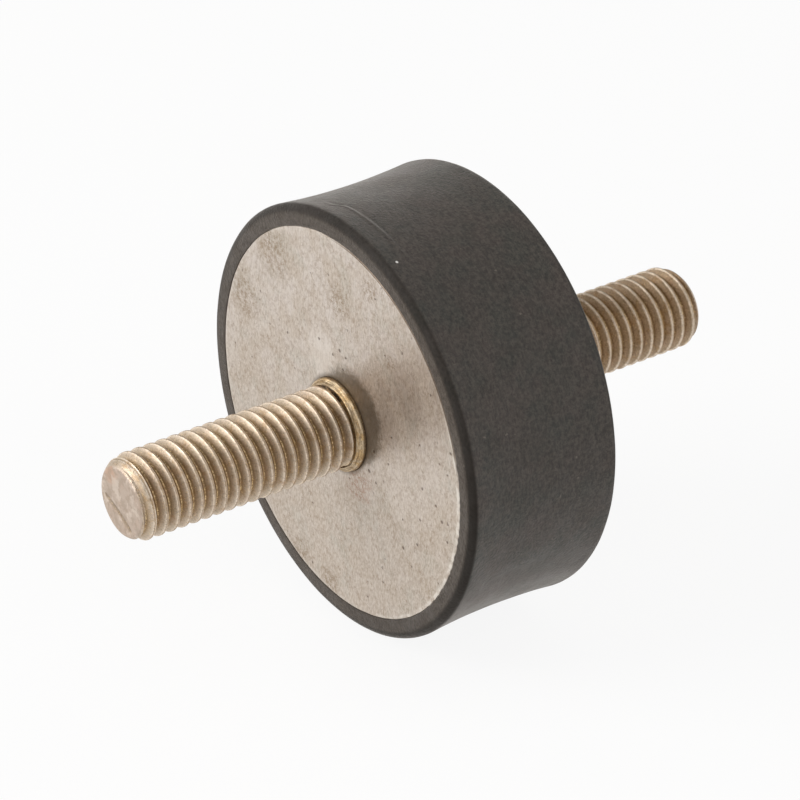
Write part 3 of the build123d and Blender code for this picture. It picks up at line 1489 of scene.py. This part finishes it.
@dataclass(frozen=True)
class Studio:
    """Pale floor, soft light all round and the lamps."""

    floor_level: float
    floor_side: float = 6000.0
    floor_glow: float = 0.9
    floor_white: Colour = (0.9, 0.9, 0.9)
    sky_white: float = 1.0
    sky_grey: float = 0.42
    sky_change: Pair = (0.2, 0.5)
    lamps: tuple[Lamp, ...] = (
        Lamp("key_lamp", -22.0, 33.0, 0.75, 0.45, 3.9, (1.0, 0.98, 0.95)),
        Lamp("top_lamp", 160.0, 72.0, 0.8, 0.5, 0.5),
        Lamp("side_lamp", 116.0, 34.0, 0.8, 0.5, 1.0, (1.0, 0.96, 0.9)),
    )

    def build(self) -> None:
        """Makes the floor, the world and the lamps."""
        self.build_floor()
        self.build_world()
        for lamp in self.lamps:
            lamp.build()

    def build_floor(self) -> None:
        """Makes the floor, which shows white where no shadow falls on it."""
        half = self.floor_side / 2 * MM
        level = self.floor_level * MM
        corners = [(x * half, y * half, level) for x, y in ((-1, -1), (1, -1), (1, 1), (-1, 1))]
        mesh = bpy.data.meshes.new("floor")
        mesh.from_pydata(corners, [], [(0, 1, 2, 3)])
        floor = linked("floor", mesh)
        material = bpy.data.materials.new("white_floor")
        material.use_nodes = True
        material.node_tree.nodes.clear()
        sheet = Sheet(material.node_tree)
        matt = sheet.feed(sheet.node("ShaderNodeBsdfDiffuse"), {"Color": self.floor_white})
        share = sheet.product(seen_directly(sheet), self.floor_glow)
        glow = sheet.node("ShaderNodeEmission")
        blend = sheet.node("ShaderNodeMixShader", share, matt.outputs[0], glow.outputs[0])
        sheet.node("ShaderNodeOutputMaterial", blend.outputs[0])
        mesh.materials.append(material)

    def build_world(self) -> None:
        """Makes the surroundings: white low down, grey above."""
        world = bpy.data.worlds.new("soft_room")
        world.use_nodes = True
        world.node_tree.nodes.clear()
        sheet = Sheet(world.node_tree)
        height = sheet.parts(sheet.node("ShaderNodeTexCoord").outputs["Generated"])[2]
        level = sheet.graded(height, *self.sky_change, self.sky_white, self.sky_grey)
        background = sheet.feed(sheet.node("ShaderNodeBackground"), {"Strength": level})
        sheet.node("ShaderNodeOutputWorld", background.outputs[0])
        bpy.context.scene.world = world


def seen_directly(sheet: Sheet) -> Socket:
    """1 for rays from the camera and for those that metal and glass send on, else 0.

    Args:
        sheet: The sheet of the material.

    Returns:
        The mask.
    """
    path = sheet.node("ShaderNodeLightPath").outputs
    both = sheet.maths("MAXIMUM", path["Is Camera Ray"], path["Is Glossy Ray"])
    return sheet.maths("MAXIMUM", both, path["Is Transmission Ray"])


@dataclass
class VibrationMount:
    """The whole mount: the rubber, two plates and two studs."""

    sizes: Sizes
    front_turn: float = 127.0
    rear_turn: float = 159.0
    edge: RaggedEdge = RaggedEdge()

    def build(self) -> None:
        """Builds and dresses every piece."""
        sizes, effects = self.sizes, Effects()
        plates = [EndPlate(end, sizes, self.edge) for end in End]
        studs = [Stud(End.FRONT, self.front_turn, sizes), Stud(End.REAR, self.rear_turn, sizes)]
        rubber_finish = RubberFinish(effects, sizes).build()
        plate_finish = PlateFinish(effects, sizes, studs[0].collar_radius).build()

        self.dress(RubberBody(sizes, self.edge).build(), "rubber_body", rubber_finish, "rubber")
        for plate in plates:
            self.dress(plate.build(), f"{plate.end.value}_plate", plate_finish, "plate_steel")
        for stud in studs:
            finish = StudFinish(effects, stud).build()
            self.dress(stud.build(), f"{stud.end.value}_stud", finish, "stud_steel")

    @staticmethod
    def dress(piece: bpy.types.Object, node: str, finish: bpy.types.Material, slot: str) -> None:
        """Gives a piece its finish and lets it stand for its solid.

        Args:
            piece: The piece.
            node: The solid that it stands for.
            finish: Its material.
            slot: Not used.
        """
        piece.data.materials.append(finish)
        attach(piece, ROOT_BODY)
        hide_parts(node)
        LOG.info("%s stands for %s: %d faces", piece.name, node, len(piece.data.polygons))


def main() -> None:
    """Builds the mount, its surroundings and the camera."""
    logging.basicConfig(level=logging.INFO, format="%(name)s: %(message)s")
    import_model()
    sizes = Sizes.of_solids()
    VibrationMount(sizes).build()
    Studio(floor_level=-sizes.radius).build()
    Viewpoint().build()
    bpy.context.scene.view_settings.view_transform = "Standard"
    bpy.context.view_layer.update()
    LOG.info("all pieces built")


if __name__ == "__main__":
    main()
